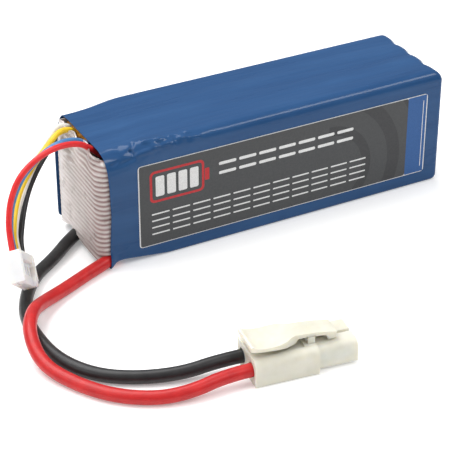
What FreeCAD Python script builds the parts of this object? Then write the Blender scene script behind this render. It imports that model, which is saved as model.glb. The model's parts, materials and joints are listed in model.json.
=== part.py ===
import FreeCAD
import Part
import math
import os
from FreeCAD import Matrix, Placement, Vector

# Four-cell lithium polymer battery pack for radio control, all sizes in millimetres.
# The pack lies on its long narrow side: +X to its closed end, the leads leave at -X,
# the label is on the -Y side, and Z = 0 is the surface that pack and leads lie on.
# The origin is the bottom centre of the pack without its leads.

# Driving dimensions of the pack
PACK_HALF = 53.0  # half of the length over the wrapped end
PACK_WIDTH = 30.1
PACK_HEIGHT = 34.0
FILM = 0.2  # shrunk wall of the sleeve
SLEEVE_EDGE = 2.5  # outer edge radius of the sleeve
MOUTH_X = -50.5  # edge of the sleeve at the lead end
SHOULDER_X = -34.8  # where the cells end and the sleeve starts to narrow
MOUTH_FAR_Y = 12.6  # the far wall has drawn in at the mouth
MOUTH_TOP_Z = 33.7
END_LIP = 4.5  # width of the lip turned in over the closed end

# Cells
CELLS = 4
CELL_THICK = 7.2
PAD_THICK = 0.3
CELL_PITCH = CELL_THICK + PAD_THICK
CELL_LOW = FILM
CELL_HIGH = PACK_HEIGHT - FILM
CELL_EDGE = 2.4
CELL_END_X = PACK_HALF - FILM
TERRACE_X = -41.5  # end of the sealed flange that the tabs come out of
TERRACE_THICK = 0.6
TERRACE_MARGIN = 1.3
TAB_THICK = 0.2
TAB_WIDE = 8.0
TAB_Z = (10.0, 21.5)  # centres of the lower and the upper tab of each cell

# Balance board, which stands across the cell ends
BOARD_X = (-47.0, -46.0)
BOARD_Y = (-13.9, 11.5)
BOARD_Z = (5.8, 31.8)
CARD_X = (-43.4, -42.9)
SLOT_HALF = 0.3
BALANCE_PAD_Z = 28.75

# Tapes over the lead end
WRAP_Y = (-14.6, 12.1)
WRAP_Z = (4.1, 30.2)
WRAP_THICK = 0.35
WRAP_BACK_X = -41.6
WRAP_EDGE = 3.0
POLYIMIDE_X = (-50.1, -50.0)
POLYIMIDE_Z = (6.0, 30.0)

# Label
LABEL_X = (-41.7, 48.0)
LABEL_Z = (4.0, 28.7)
LABEL_THICK = 0.15

# Leads
LEAD_D = 3.5  # 14 gauge silicone
STRAND_D = 1.9
WIRE_D = 1.6  # balance wires
BEND_SHARE = 0.45  # an arc reaches this share of the shorter run from its corner

# Power connector, in its own frame: u from the back face to the nose, v across, w up
PLUG_BACK = Vector(-40.98, -72.75, 0)
PLUG_TURN = -7.5
CORE_Z = 3.5
CORE_V = 3.1
BODY_U = 16.5
BODY_HALF = 6.3
BODY_TOP = 7.2
NOSE_U = 27.0
NOSE_HALF = 5.2
NOSE_LOW = 0.7
NOSE_TOP = 6.7
SOCKET_R = 1.1
SOCKET_U = (17.0, 26.0)
LEAD_IN = 3.0  # how far a lead goes into the back of the connector
HINGE_U = 15.6
HINGE_W = 8.4
HINGE_PIN_R = 0.5
HINGE_BORE_R = 0.55

# Balance plug, in its own frame: a along the row of wires, b across, c to the wires
BAL_CENTRE = Vector(-77.2, -20.0, 10.9)
BAL_ROW = Vector(0.53, 0.55, -0.65)
BAL_UP = Vector(0.12, 0.70, 0.70)
BAL_PITCH = 2.0
BAL_SIZE = (11.2, 4.4, 8.2)
BAL_WIRE_IN = 1.5
WAYS = 5

# Routes: the corners of straight runs, which arcs join
POSITIVE_LEAD = [
    (-47.0, -12.6, 2.15), (-52.3, -13.0, 2.1), (-59.8, -16.9, 1.9), (-67.4, -21.2, 1.8),
    (-74.0, -25.4, 4.0), (-79.2, -31.5, 8.6), (-83.4, -39.7, 8.6), (-84.2, -48.7, 3.8),
    (-80.4, -58.0, 1.8), (-74.0, -67.5, 1.8), (-65.0, -73.6, 1.8), (-56.6, -75.6, 2.5),
    (-47.35, -75.05, 3.5), (-38.4, -76.2, 3.5),
]
NEGATIVE_LEAD = [
    (-47.0, 6.2, 2.05), (-54.3, 2.0, 1.9), (-62.3, -5.4, 1.8), (-69.8, -10.6, 1.8),
    (-75.7, -18.3, 1.8), (-79.7, -27.6, 1.8), (-80.6, -38.0, 1.8), (-79.3, -49.0, 1.8),
    (-74.0, -58.4, 1.8), (-65.3, -64.2, 1.8), (-55.5, -68.0, 2.4), (-46.5, -68.9, 3.5),
    (-37.6, -70.1, 3.5),
]
BALANCE_WIRES = {
    "balance_wire_red": [
        (-48.2, -7.0, 30.0), (-50.8, -7.0, 32.6), (-54.6, -8.0, 35.8), (-61.0, -9.5, 37.3),
        (-67.4, -11.0, 36.3), (-73.0, -12.5, 33.3), (-76.3, -14.0, 28.5),
        (-77.8, -15.3, 23.6), (-78.4, -16.9, 18.8), (-79.0, -20.4, 15.3),
    ],
    "balance_wire_blue": [
        (-48.2, -3.4, 30.0), (-50.8, -3.4, 32.6), (-54.9, -4.4, 35.2), (-60.6, -6.0, 35.9),
        (-66.2, -8.0, 33.7), (-71.5, -10.5, 30.6), (-74.8, -12.6, 26.2),
        (-76.3, -14.2, 22.0), (-77.3, -15.8, 17.5), (-77.9, -19.3, 14.0),
    ],
    "balance_wire_yellow": [
        (-48.2, 5.9, 30.0), (-50.6, 5.9, 32.2), (-54.9, 4.4, 33.6), (-59.3, 1.6, 31.9),
        (-64.4, -1.6, 28.7), (-69.4, -5.2, 25.7), (-72.8, -9.0, 22.5),
        (-74.9, -12.4, 19.4), (-76.3, -14.7, 16.1), (-76.9, -18.2, 12.7),
    ],
    "balance_wire_white": [
        (-48.2, 8.2, 30.0), (-50.6, 8.3, 32.2), (-54.6, 7.5, 33.4), (-58.5, 4.6, 31.0),
        (-62.5, 1.4, 27.6), (-66.6, -2.4, 24.3), (-70.6, -6.6, 20.8),
        (-73.3, -10.4, 17.7), (-75.2, -13.5, 14.9), (-75.8, -17.1, 11.4),
    ],
    "balance_wire_black": [
        (-48.2, 10.3, 30.0), (-50.6, 10.5, 32.1), (-54.6, 9.6, 32.6), (-57.6, 6.4, 29.2),
        (-62.0, 2.7, 25.6), (-66.6, -1.1, 22.0), (-69.9, -5.2, 18.6),
        (-72.2, -9.0, 16.2), (-74.1, -12.4, 13.6), (-74.8, -16.0, 10.1),
    ],
}

X = Vector(1, 0, 0)
Y = Vector(0, 1, 0)
Z = Vector(0, 0, 1)


def block(x, y, z):
    """A box between two limits along each axis."""
    return Part.makeBox(x[1] - x[0], y[1] - y[0], z[1] - z[0], Vector(x[0], y[0], z[0]))


def rod(radius, start, end):
    """A round bar from one point to another."""
    start, end = Vector(start), Vector(end)
    return Part.makeCylinder(radius, (end - start).Length, start, end - start)


def joined(solids):
    """One solid out of several that touch or overlap."""
    return solids[0].multiFuse(solids[1:]).removeSplitter()


def rounded(shape, radius, wanted):
    """The shape with the straight edges that are wanted rounded off."""
    return shape.makeFillet(radius, [edge for edge in shape.Edges if wanted(edge)])


def along(edge, axis):
    """Whether an edge is a straight line along an axis."""
    if not isinstance(edge.Curve, Part.Line):
        return False
    return abs(edge.tangentAt(edge.FirstParameter).dot(axis)) > 0.999


def middle(edge):
    return edge.CenterOfMass


def outline(x, y, z, radius):
    """A closed rectangle with round corners, standing at x."""
    (y0, y1), (z0, z1) = y, z
    k = radius * (1 - math.sqrt(0.5))
    flat = [
        (y0 + radius, z0), (y1 - radius, z0), (y1 - k, z0 + k), (y1, z0 + radius),
        (y1, z1 - radius), (y1 - k, z1 - k), (y1 - radius, z1), (y0 + radius, z1),
        (y0 + k, z1 - k), (y0, z1 - radius), (y0, z0 + radius), (y0 + k, z0 + k),
    ]
    p = [Vector(x, a, b) for a, b in flat]
    edges = []
    for i in (0, 3, 6, 9):
        edges.append(Part.LineSegment(p[i], p[i + 1]).toShape())
        edges.append(Part.Arc(p[i + 1], p[i + 2], p[(i + 3) % 12]).toShape())
    return Part.Wire(edges)


def sleeve_form(inset):
    """The solid that the sleeve encloses, with its walls moved in by the inset."""
    half = PACK_WIDTH / 2 - inset
    edge = SLEEVE_EDGE - inset
    main = block((SHOULDER_X, PACK_HALF - inset), (-half, half), (inset, PACK_HEIGHT - inset))
    main = rounded(main, edge, lambda e: along(e, X) or middle(e).x > PACK_HALF - 1)
    full = outline(SHOULDER_X, (-half, half), (inset, PACK_HEIGHT - inset), edge)
    mouth = outline(
        MOUTH_X, (-half, MOUTH_FAR_Y - inset), (inset, MOUTH_TOP_Z - inset), edge
    )
    return main.fuse(Part.makeLoft([full, mouth], True, True))


def heat_shrink_sleeve():
    sleeve = sleeve_form(0).cut(sleeve_form(FILM))
    half = PACK_WIDTH / 2 - END_LIP
    opening = block(
        (PACK_HALF - 3, PACK_HALF + 1), (-half, half), (END_LIP, PACK_HEIGHT - END_LIP)
    )
    opening = rounded(opening, SLEEVE_EDGE, lambda e: along(e, X))
    return sleeve.cut(opening)


def label():
    near = -PACK_WIDTH / 2
    plate = block(LABEL_X, (near - LABEL_THICK, near), LABEL_Z)
    return rounded(plate, 1.0, lambda e: along(e, Y))


def cell_y(number):
    return (number - (CELLS - 1) / 2) * CELL_PITCH


def cell(number):
    """One pouch: the thick body, its sloping shoulder and the sealed flange."""
    y, half = cell_y(number), CELL_THICK / 2
    body = block((SHOULDER_X, CELL_END_X), (y - half, y + half), (CELL_LOW, CELL_HIGH))
    body = rounded(body, CELL_EDGE, lambda e: along(e, X) or middle(e).x > CELL_END_X - 1)
    low, high = CELL_LOW + TERRACE_MARGIN, CELL_HIGH - TERRACE_MARGIN
    thin = (y - TERRACE_THICK / 2, y + TERRACE_THICK / 2)
    foot = SHOULDER_X - 3
    full = outline(SHOULDER_X, (y - half, y + half), (CELL_LOW, CELL_HIGH), CELL_EDGE)
    seal = outline(foot, thin, (low, high), TERRACE_THICK * 0.4)
    shoulder = Part.makeLoft([full, seal], True, True)
    flange = block((TERRACE_X, foot + 0.01), thin, (low, high))
    return joined([body, shoulder, flange])


def positive_is_low(number):
    """The cells are turned end for end in turn, so their tabs alternate."""
    return number % 2 == 0


def tab(number, low):
    """A tab through its slot in the board, folded over toward the cell it is linked to."""
    y, z = cell_y(number), TAB_Z[0 if low else 1]
    half = TAB_THICK / 2
    tall = (z - TAB_WIDE / 2, z + TAB_WIDE / 2)
    leg = block((BOARD_X[0] - TAB_THICK, TERRACE_X), (y - half, y + half), tall)
    linked_up = number % 2 == (1 if low else 0)
    reach = (CELL_PITCH - 0.4) / 2
    if low and number in (0, CELLS - 1):
        linked_up = number == 0
        reach = 1.4
    foot_y = (y - half, y + reach) if linked_up else (y - reach, y + half)
    foot = block((BOARD_X[0] - TAB_THICK, BOARD_X[0]), foot_y, tall)
    return joined([leg, foot])


def slots(x):
    """The cuts that the tabs pass through."""
    cuts = []
    for number in range(CELLS):
        y = cell_y(number)
        for z in TAB_Z:
            tall = TAB_WIDE / 2 + SLOT_HALF
            cuts.append(block(x, (y - SLOT_HALF, y + SLOT_HALF), (z - tall, z + tall)))
    return cuts


def balance_board():
    board = block(BOARD_X, BOARD_Y, BOARD_Z)
    board = rounded(board, 1.0, lambda e: along(e, X))
    for cut in slots((BOARD_X[0] - 1, BOARD_X[1] + 1)):
        board = board.cut(cut)
    return board


def tab_insulation_card():
    card = block(CARD_X, BOARD_Y, (BOARD_Z[0] - 0.8, BOARD_Z[1] - 0.8))
    for cut in slots((CARD_X[0] - 1, CARD_X[1] + 1)):
        card = card.cut(cut)
    return card


def tab_solder_joints():
    """Solder over each pair of linked tabs, and over the two tabs at the pack's ends."""
    face = BOARD_X[0] - TAB_THICK
    places = [(cell_y(0) + 0.7, 0, 1.0), (cell_y(3) - 0.7, 0, 1.0)]
    places += [((cell_y(1) + cell_y(2)) / 2, 0, 2.6)]
    places += [((cell_y(n) + cell_y(n + 1)) / 2, 1, 2.6) for n in (0, 2)]
    joints = []
    for y, row, half in places:
        z = TAB_Z[row]
        joint = block((face - 0.9, face), (y - half, y + half), (z - 2.8, z + 2.8))
        joints.append(rounded(joint, 0.5, lambda e: middle(e).x < face - 0.1))
    return Part.makeCompound(joints)


def wire_ways():
    return [(name, points[0]) for name, points in BALANCE_WIRES.items()]


def balance_wire_solder_joints():
    """A solder dome on each pad, with the wire's tinned end going into it."""
    joints = []
    for name, start in wire_ways():
        first, second = (Vector(*p) for p in BALANCE_WIRES[name][:2])
        pad = Vector(BOARD_X[0], start[1], BALANCE_PAD_Z)
        dome = Part.makeSphere(1.0, pad)
        dome = dome.common(block((BOARD_X[0] - 2, BOARD_X[0]), (-20, 20), (20, 40)))
        back = (first - second).normalize()
        stub = rod(0.35, first, first + back * 1.3)
        joints.append(joined([dome, stub]))
    return Part.makeCompound(joints)


def strands(route, side):
    """The lead's stripped ends: up the board's inner face, and into the crimp."""
    start = Vector(*route[0])
    bend = 2.0
    centre = start + Vector(0, 0, bend)
    corner = centre + Vector(bend * math.sqrt(0.5), 0, -bend * math.sqrt(0.5))
    top = start + Vector(bend, 0, bend)
    tip = Vector(top.x, top.y, 11.5)
    path = Part.Wire(
        [Part.Arc(start, corner, top).toShape(), Part.LineSegment(top, tip).toShape()]
    )
    section = Part.Wire([Part.Circle(start, X, STRAND_D / 2).toShape()])
    board_end = path.makePipeShell([section], True, True)
    crimp_end = plug_frame(
        rod(STRAND_D / 2, (LEAD_IN, side * CORE_V, CORE_Z), (11.4, side * CORE_V, CORE_Z))
    )
    return Part.makeCompound([board_end, crimp_end])


def main_lead_solder_joints():
    """Solder that fills the gap between each lead's strands and the board."""
    joints = []
    for route in (POSITIVE_LEAD, NEGATIVE_LEAD):
        y, x = route[0][1], route[0][0] + 2.0
        joint = block((BOARD_X[1], x), (y - 1.1, y + 1.1), (7.0, 11.2))
        joints.append(joint.cut(rod(STRAND_D / 2, (x, y, 5), (x, y, 13))))
    return Part.makeCompound(joints)


def end_wrap_tape():
    """Filament tape from one side of the pack round the lead end to the other."""
    outer = block((-PACK_HALF, WRAP_BACK_X), WRAP_Y, WRAP_Z)
    outer = rounded(outer, WRAP_EDGE, lambda e: along(e, Z) and middle(e).x < -52)
    y = (WRAP_Y[0] + WRAP_THICK, WRAP_Y[1] - WRAP_THICK)
    inner = block((-PACK_HALF + WRAP_THICK, WRAP_BACK_X + 1), y, (0, PACK_HEIGHT))
    inner = rounded(
        inner, WRAP_EDGE - WRAP_THICK, lambda e: along(e, Z) and middle(e).x < -52
    )
    return outer.cut(inner)


def tube(points, diameter):
    """A cord's tube: straight runs with the largest arcs that they leave room for."""
    p = [Vector(*q) for q in points]
    edges, at, radii = [], p[0], []
    for before, corner, after in zip(p, p[1:], p[2:]):
        one, two = corner - before, after - corner
        half_turn = one.getAngle(two) / 2
        reach = BEND_SHARE * min(one.Length, two.Length)
        radii.append(reach / math.tan(half_turn))
        into = corner - Vector(one).normalize() * reach
        out = corner + Vector(two).normalize() * reach
        inward = (Vector(two).normalize() - Vector(one).normalize()).normalize()
        sink = radii[-1] / math.cos(half_turn) - radii[-1]
        edges.append(Part.LineSegment(at, into).toShape())
        edges.append(Part.Arc(into, corner + inward * sink, out).toShape())
        at = out
    edges.append(Part.LineSegment(at, p[-1]).toShape())
    path = Part.Wire(edges)
    ring = Part.Circle(p[0], p[1] - p[0], diameter / 2).toShape()
    solid = path.makePipeShell([Part.Wire([ring])], True, False)
    wanted = math.pi * diameter**2 / 4 * path.Length
    print(
        "  length %.1f, volume over section times length %.4f, arcs" % (
            path.Length, solid.Volume / wanted
        ),
        ["%.1f" % r for r in radii],
    )
    return solid


def plug_frame(shape):
    """A shape drawn in the power connector's frame, put where the connector lies."""
    shape.rotate(Vector(), Z, PLUG_TURN)
    shape.translate(PLUG_BACK)
    return shape


def lobe(u, v, w, round_v, radius):
    """One half of the connector, with one long top edge more rounded than the other."""
    half = block(u, v, w)
    return rounded(
        half,
        radius,
        lambda e: along(e, X) and middle(e).z > w[1] - 0.1 and abs(middle(e).y - round_v) < 0.1,
    )


def power_connector_housing():
    body_low = block((0, BODY_U), (-BODY_HALF, BODY_HALF), (0, BODY_TOP))
    body = rounded(
        body_low, 2.2, lambda e: along(e, X) and middle(e).z > 7 and middle(e).y < 0
    )
    body = rounded(body, 0.6, lambda e: along(e, X) and middle(e).z > 7 and middle(e).y > 0)
    u = (BODY_U - 0.5, NOSE_U)
    near = lobe(u, (-NOSE_HALF, -0.5), (NOSE_LOW, NOSE_TOP), -NOSE_HALF, 2.2)
    far = lobe(u, (0.5, NOSE_HALF), (NOSE_LOW, NOSE_TOP), NOSE_HALF, 0.5)
    web = block(u, (-0.6, 0.6), (NOSE_LOW + 1.4, NOSE_TOP - 1.4))
    ears = [
        block((HINGE_U - 0.9, HINGE_U + 0.9), v, (BODY_TOP - 0.5, HINGE_W + 0.6))
        for v in ((-2.9, -2.0), (2.0, 2.9))
    ]
    pin = rod(HINGE_PIN_R, (HINGE_U, -2.5, HINGE_W), (HINGE_U, 2.5, HINGE_W))
    housing = joined([body, near, far, web, pin] + ears)
    for side in (-1, 1):
        v = side * CORE_V
        nose_v = side * (NOSE_HALF + 0.5) / 2
        entry = rod(LEAD_D / 2 + 0.15, (-1, v, CORE_Z), (14.0, v, CORE_Z))
        bore = rod(1.8, (13.0, nose_v, CORE_Z), (NOSE_U + 1, nose_v, CORE_Z))
        housing = housing.cut(entry).cut(bore)
    return plug_frame(housing)


def power_connector_latch():
    """The rocking latch: a press pad behind its hinge and a hooked arm before it."""
    pad = block((-0.4, 9.6), (-4.5, 4.5), (9.4, 10.9))
    pad = rounded(pad, 0.6, lambda e: along(e, Y) or along(e, Z))
    side = [(9.0, 9.4), (16.0, 9.3), (21.8, 8.2), (22.2, 7.2), (23.7, 7.4), (24.0, 8.9),
            (17.0, 10.5), (9.0, 10.8)]
    corners = [Vector(u, -2.7, w) for u, w in side]
    arm = Part.Face(Part.makePolygon(corners + corners[:1])).extrude(Vector(0, 5.4, 0))
    boss = block((HINGE_U - 1.1, HINGE_U + 1.1), (-1.9, 1.9), (HINGE_W - 0.95, 9.6))
    ridges = [
        block((u, u + 0.5), (-3.9, 3.9), (10.8, 11.2)) for u in (0.4, 1.4, 2.4)
    ]
    latch = joined([pad, arm, boss] + ridges)
    pin_way = rod(HINGE_BORE_R, (HINGE_U, -3, HINGE_W), (HINGE_U, 3, HINGE_W))
    return plug_frame(latch.cut(pin_way))


def socket_contact(side):
    """A crimped contact: barrel on the strands, neck, and the split socket."""
    v = side * (NOSE_HALF + 0.5) / 2
    barrel_v = side * CORE_V
    barrel = rod(1.5, (6.0, barrel_v, CORE_Z), (12.2, barrel_v, CORE_Z))
    neck = rod(1.2, (12.0, v, CORE_Z), (15.2, v, CORE_Z))
    socket = rod(1.5, (15.0, v, CORE_Z), (SOCKET_U[1], v, CORE_Z))
    contact = joined([barrel, neck, socket])
    contact = contact.cut(rod(STRAND_D / 2, (5, barrel_v, CORE_Z), (11.4, barrel_v, CORE_Z)))
    contact = contact.cut(rod(SOCKET_R, (SOCKET_U[0], v, CORE_Z), (NOSE_U, v, CORE_Z)))
    slit = block((SOCKET_U[0] + 1, NOSE_U), (v - 0.2, v + 0.2), (CORE_Z, CORE_Z + 2))
    return plug_frame(contact.cut(slit))


def balance_frame(shape):
    """A shape drawn in the balance plug's frame, put where the plug lies."""
    row = Vector(BAL_ROW).normalize()
    up = (BAL_UP - row * BAL_UP.dot(row)).normalize()
    across = up.cross(row)
    turn = Matrix(
        row.x, across.x, up.x, BAL_CENTRE.x,
        row.y, across.y, up.y, BAL_CENTRE.y,
        row.z, across.z, up.z, BAL_CENTRE.z,
        0, 0, 0, 1,
    )
    shape.Placement = Placement(turn)
    return shape


def balance_ways():
    return [(i - (WAYS - 1) / 2) * BAL_PITCH for i in range(WAYS)]


def balance_plug_housing():
    long, thick, tall = (s / 2 for s in BAL_SIZE)
    housing = block((-long, long), (-thick, thick), (-tall, tall))
    housing = rounded(housing, 0.3, lambda e: along(e, Z))
    key = block((-long + 1.6, long - 1.6), (-thick - 0.1, -thick + 0.7), (-tall - 1, tall - 2.6))
    housing = housing.cut(key)
    for a in balance_ways():
        housing = housing.cut(rod(0.9, (a, 0, tall - 3.6), (a, 0, tall + 1)))
        channel = block((a - 0.68, a + 0.68), (-0.68, 0.68), (-tall - 1, tall - 3.5))
        housing = housing.cut(channel)
    return balance_frame(housing)


def balance_plug_contacts():
    tall = BAL_SIZE[2] / 2
    contacts = []
    for a in balance_ways():
        grip = block((a - 0.6, a + 0.6), (-0.6, 0.6), (-tall + 0.5, tall - 3.6))
        crimp = rod(0.6, (a, 0, tall - 3.7), (a, 0, tall - BAL_WIRE_IN - 0.1))
        mouth = block((a - 0.33, a + 0.33), (-0.33, 0.33), (-tall, tall - 4.4))
        contacts.append(joined([grip, crimp]).cut(mouth))
    return balance_frame(Part.makeCompound(contacts))


def spacer_pad(number):
    y = (cell_y(number) + cell_y(number + 1)) / 2
    return block((-31, 47), (y - PAD_THICK / 2, y + PAD_THICK / 2), (4, 30))


def build():
    parts = {
        "heat_shrink_sleeve": heat_shrink_sleeve(),
        "label": label(),
        "tab_insulation_card": tab_insulation_card(),
        "balance_board": balance_board(),
        "tab_solder_joints": tab_solder_joints(),
        "balance_wire_solder_joints": balance_wire_solder_joints(),
        "main_lead_solder_joints": main_lead_solder_joints(),
        "polyimide_tape": block(POLYIMIDE_X, (BOARD_Y[0] + 0.4, BOARD_Y[1] - 0.2), POLYIMIDE_Z),
        "end_wrap_tape": end_wrap_tape(),
        "positive_lead_strands": strands(POSITIVE_LEAD, -1),
        "negative_lead_strands": strands(NEGATIVE_LEAD, 1),
        "power_connector_housing": power_connector_housing(),
        "power_connector_latch": power_connector_latch(),
        "positive_socket_contact": socket_contact(-1),
        "negative_socket_contact": socket_contact(1),
        "balance_plug_housing": balance_plug_housing(),
        "balance_plug_contacts": balance_plug_contacts(),
    }
    for number in range(CELLS):
        low_positive = positive_is_low(number)
        parts[f"cell_{number + 1}"] = cell(number)
        parts[f"cell_{number + 1}_positive_tab"] = tab(number, low_positive)
        parts[f"cell_{number + 1}_negative_tab"] = tab(number, not low_positive)
    for number in range(CELLS - 1):
        parts[f"cell_spacer_pad_{number + 1}"] = spacer_pad(number)
    cords = {"positive_lead": POSITIVE_LEAD, "negative_lead": NEGATIVE_LEAD, **BALANCE_WIRES}
    for name, route in cords.items():
        print(name)
        parts[name] = tube(route, WIRE_D if name in BALANCE_WIRES else LEAD_D)
    return parts


os.makedirs("parts", exist_ok=True)
for node, shape in build().items():
    if not shape.isValid():
        print("not valid:", node)
    shape.exportStep(f"parts/{node}.step")
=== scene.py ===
import json
import math

import bmesh
import bpy
from mathutils import Matrix, Vector

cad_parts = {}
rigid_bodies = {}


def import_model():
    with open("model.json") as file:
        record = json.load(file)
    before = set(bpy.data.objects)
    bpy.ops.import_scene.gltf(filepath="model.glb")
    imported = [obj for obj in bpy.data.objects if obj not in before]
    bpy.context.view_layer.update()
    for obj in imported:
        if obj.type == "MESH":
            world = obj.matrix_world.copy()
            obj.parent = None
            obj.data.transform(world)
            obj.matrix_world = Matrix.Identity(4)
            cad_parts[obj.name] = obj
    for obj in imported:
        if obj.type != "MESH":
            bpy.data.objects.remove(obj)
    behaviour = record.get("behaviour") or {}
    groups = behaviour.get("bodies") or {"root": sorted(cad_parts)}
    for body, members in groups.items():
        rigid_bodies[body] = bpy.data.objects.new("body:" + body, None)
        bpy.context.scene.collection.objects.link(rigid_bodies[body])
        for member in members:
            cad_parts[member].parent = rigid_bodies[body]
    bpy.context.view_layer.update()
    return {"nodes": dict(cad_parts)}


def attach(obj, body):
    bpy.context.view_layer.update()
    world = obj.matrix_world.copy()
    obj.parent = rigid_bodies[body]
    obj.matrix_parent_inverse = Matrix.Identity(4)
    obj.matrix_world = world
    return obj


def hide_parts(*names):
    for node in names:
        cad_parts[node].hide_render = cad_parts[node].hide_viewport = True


# A four-cell lithium polymer pack in shrink film, with its power leads and balance lead.
# Measures are in millimetres and are turned to metres where they reach Blender.

MM = 0.001
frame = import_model()
nodes = frame["nodes"]

# The pack, as the CAD has it
END_X = 53.0
MOUTH_X = -50.5
NEAR_Y, FAR_Y = -15.05, 15.05
TOP_Z = 34.0
SHOULDER_X = -34.8
GAP_YS = (-7.5, 0.0, 7.5)  # between the cells

LEAD_D = 3.5
WIRE_D = 1.6


# ---------------------------------------------------------------- working by hand

def nothing_selected():
    for other in bpy.context.view_layer.objects:
        other.select_set(False)


def take(piece):
    nothing_selected()
    bpy.context.view_layer.objects.active = piece
    piece.select_set(True)


def settle(piece):
    """Puts the piece's place into its mesh."""
    take(piece)
    bpy.ops.object.transform_apply(location=True, rotation=True, scale=True)
    return piece


def start_block(name, x, y, z):
    nothing_selected()
    spans = (x, y, z)
    bpy.ops.mesh.primitive_cube_add(
        size=1,
        location=[(a + b) / 2 * MM for a, b in spans],
        scale=[(b - a) * MM for a, b in spans],
    )
    piece = bpy.context.object
    piece.name = piece.data.name = name
    return settle(piece)


def start_rod(name, radius, start, end, sides=32):
    nothing_selected()
    start, end = Vector(start) * MM, Vector(end) * MM
    way = end - start
    bpy.ops.mesh.primitive_cylinder_add(
        vertices=sides,
        radius=radius * MM,
        depth=way.length,
        location=(start + end) / 2,
        rotation=way.to_track_quat("Z", "Y").to_euler(),
    )
    piece = bpy.context.object
    piece.name = piece.data.name = name
    return settle(piece)


def open_mesh(piece, mode="FACE"):
    take(piece)
    bpy.ops.object.mode_set(mode="EDIT")
    bpy.ops.mesh.select_mode(type=mode)
    bpy.ops.mesh.select_all(action="DESELECT")


def close_mesh():
    bpy.ops.object.mode_set(mode="OBJECT")


def pick_faces(wanted):
    """Selects the open mesh's faces whose middle, in mm, and normal are wanted."""
    bpy.ops.mesh.select_mode(type="FACE")
    bpy.ops.mesh.select_all(action="DESELECT")
    mesh = bmesh.from_edit_mesh(bpy.context.object.data)
    mesh.normal_update()
    for face in mesh.faces:
        if wanted(face.calc_center_median() / MM, face.normal):
            face.select_set(True)
    bmesh.update_edit_mesh(bpy.context.object.data)


def pick_edges(wanted):
    """Selects the open mesh's edges whose middle, in mm, and direction are wanted."""
    bpy.ops.mesh.select_mode(type="EDGE")
    bpy.ops.mesh.select_all(action="DESELECT")
    mesh = bmesh.from_edit_mesh(bpy.context.object.data)
    for edge in mesh.edges:
        a, b = (v.co for v in edge.verts)
        if wanted((a + b) / 2 / MM, (b - a).normalized()):
            edge.select_set(True)
    bmesh.update_edit_mesh(bpy.context.object.data)


def slice_across(axis, places):
    """Cuts the open mesh through at each place along an axis."""
    normal = [0, 0, 0]
    normal[axis] = 1
    for place in places:
        point = [0, 0, 0]
        point[axis] = place * MM
        bpy.ops.mesh.select_all(action="SELECT")
        bpy.ops.mesh.bisect(plane_co=point, plane_no=normal)


def span(low, high, step):
    count = max(1, round((high - low) / step))
    return [low + (high - low) * i / count for i in range(count + 1)]


def finish_with(piece, kind, **settings):
    """Adds a modifier and applies it."""
    take(piece)
    modifier = piece.modifiers.new(kind.lower(), kind)
    for key, value in settings.items():
        setattr(modifier, key, value)
    bpy.ops.object.modifier_apply(modifier=modifier.name)
    return piece


def carve(piece, *tools, operation="DIFFERENCE"):
    for tool in tools:
        finish_with(piece, "BOOLEAN", operation=operation, solver="EXACT", object=tool)
        bpy.data.objects.remove(tool)
    return piece


def swell(piece, direction, amount, weight):
    """Moves the surface by an amount in mm, as far as the painted weight, from 0 to 1."""
    group = piece.vertex_groups.new(name="reach")
    for vertex in piece.data.vertices:
        share = weight(*(vertex.co / MM))
        if share > 0.001:
            group.add([vertex.index], min(share, 1), "REPLACE")
    finish_with(
        piece, "DISPLACE", direction=direction, strength=amount * MM, mid_level=0,
        vertex_group="reach",
    )
    piece.vertex_groups.remove(piece.vertex_groups["reach"])


def reshape(piece, move):
    """Moves the surface by move(x, y, z), in mm, one painted push along each axis."""
    shifts = [move(*(vertex.co / MM)) for vertex in piece.data.vertices]
    for axis, letter in enumerate("XYZ"):
        for sign in (1, -1):
            most = max(0.0, *(sign * shift[axis] for shift in shifts))
            if most < 0.001:
                continue
            group = piece.vertex_groups.new(name="reach")
            for index, shift in enumerate(shifts):
                if sign * shift[axis] > 0:
                    group.add([index], sign * shift[axis] / most, "REPLACE")
            finish_with(
                piece, "DISPLACE", direction=letter, strength=sign * most * MM,
                mid_level=0, vertex_group="reach",
            )
            piece.vertex_groups.remove(piece.vertex_groups["reach"])


def weigh_edges(piece, width, weight, segments=5):
    """Rounds edges to their own share of a width. The weight takes middle and direction."""
    mesh = piece.data
    attribute = mesh.attributes.new("bevel_weight_edge", "FLOAT", "EDGE")
    for edge in mesh.edges:
        a, b = (mesh.vertices[i].co for i in edge.vertices)
        attribute.data[edge.index].value = weight((a + b) / 2 / MM, (b - a).normalized())
    finish_with(
        piece, "BEVEL", width=width * MM, segments=segments, limit_method="WEIGHT",
        use_clamp_overlap=True,
    )


def soften(piece, width, segments=2, angle=35):
    finish_with(
        piece, "BEVEL", width=width * MM, segments=segments, limit_method="ANGLE",
        angle_limit=math.radians(angle), use_clamp_overlap=True, harden_normals=False,
    )


def smooth(piece, angle=40):
    take(piece)
    bpy.ops.object.shade_smooth_by_angle(angle=math.radians(angle))
    return piece


def ramp(low, high, value):
    """0 below low and 1 above high, with a smooth way between; either way round."""
    t = max(0.0, min(1.0, (value - low) / (high - low)))
    return t * t * (3 - 2 * t)


def hump(centre, width, value):
    return math.exp(-(((value - centre) / width) ** 2))


def table_lookup(table, value):
    """Straight lines between the (place, amount) pairs."""
    if value <= table[0][0]:
        return table[0][1]
    for (a, p), (b, q) in zip(table, table[1:]):
        if value <= b:
            return p + (q - p) * (value - a) / (b - a)
    return table[-1][1]


# ---------------------------------------------------------------- finishes

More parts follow.
